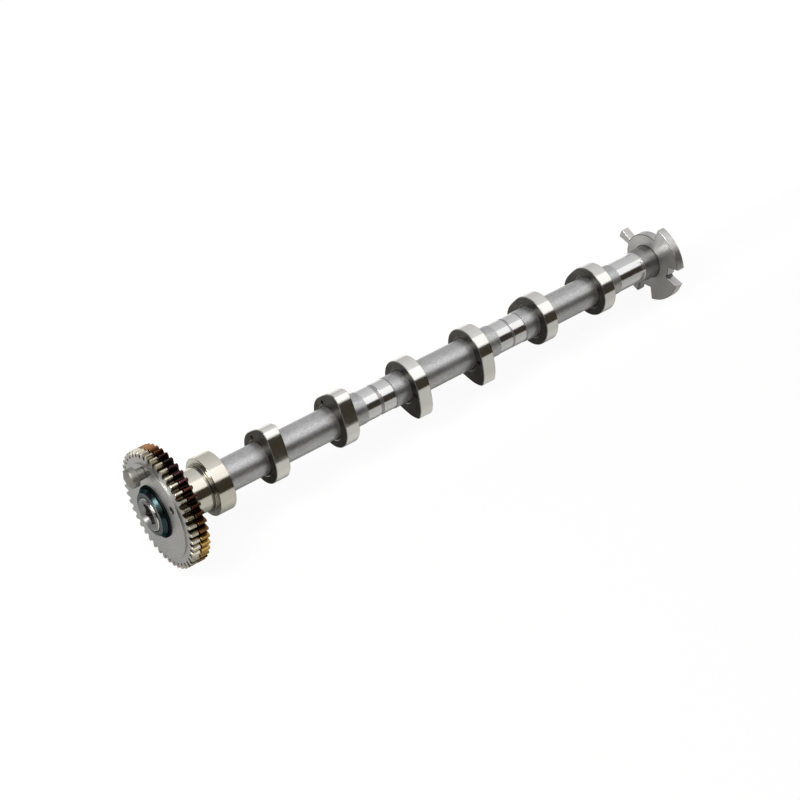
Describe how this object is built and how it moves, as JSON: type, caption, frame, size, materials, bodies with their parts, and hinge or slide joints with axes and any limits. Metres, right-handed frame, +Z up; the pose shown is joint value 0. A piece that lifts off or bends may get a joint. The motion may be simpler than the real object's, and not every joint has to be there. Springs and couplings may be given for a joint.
{
  "type": "camshaft",
  "caption": "Assembled hollow camshaft for one bank of an engine, with cam lobes, ground journals, a locked split spur gear and a sensor wheel.",
  "frame": {"origin": "on the shaft's axis, in the plane of the thrust collar's front face", "axes": "+X along the shaft from the gear end to the sensor wheel, +Z up, +Y completes the right-handed set; angles about +X are read from +Y towards +Z"},
  "size_m": [0.4081, 0.0736, 0.0736],
  "materials": {
    "ground_tube": "satin drawn tube with ground and polished journals",
    "lobe_steel": "polished cam surface, dark matte faces",
    "journal_steel": "polished",
    "tempered_steel": "heat tinted, straw to purple",
    "gear_steel": "machined",
    "spring_steel": "oiled spring steel",
    "pin_steel": "matte turned",
    "blued_steel": "blued",
    "sintered_steel": "matte sintered"
  },
  "bodies": {
    "root": {"shaft_tube": "ground_tube", "cam_lobe_1": "lobe_steel", "cam_lobe_2": "lobe_steel", "cam_lobe_3": "lobe_steel", "cam_lobe_4": "lobe_steel", "cam_lobe_5": "lobe_steel", "cam_lobe_6": "lobe_steel", "front_end_piece": "journal_steel", "main_gear": "tempered_steel", "backlash_gear": "gear_steel", "ring_spring": "spring_steel", "main_stop_pin": "pin_steel", "backlash_stop_pin": "pin_steel", "friction_washer": "blued_steel", "retaining_ring": "blued_steel", "locking_pin": "pin_steel", "sensor_wheel": "sintered_steel", "rear_plug": "pin_steel"}
  },
  "joints": []
}
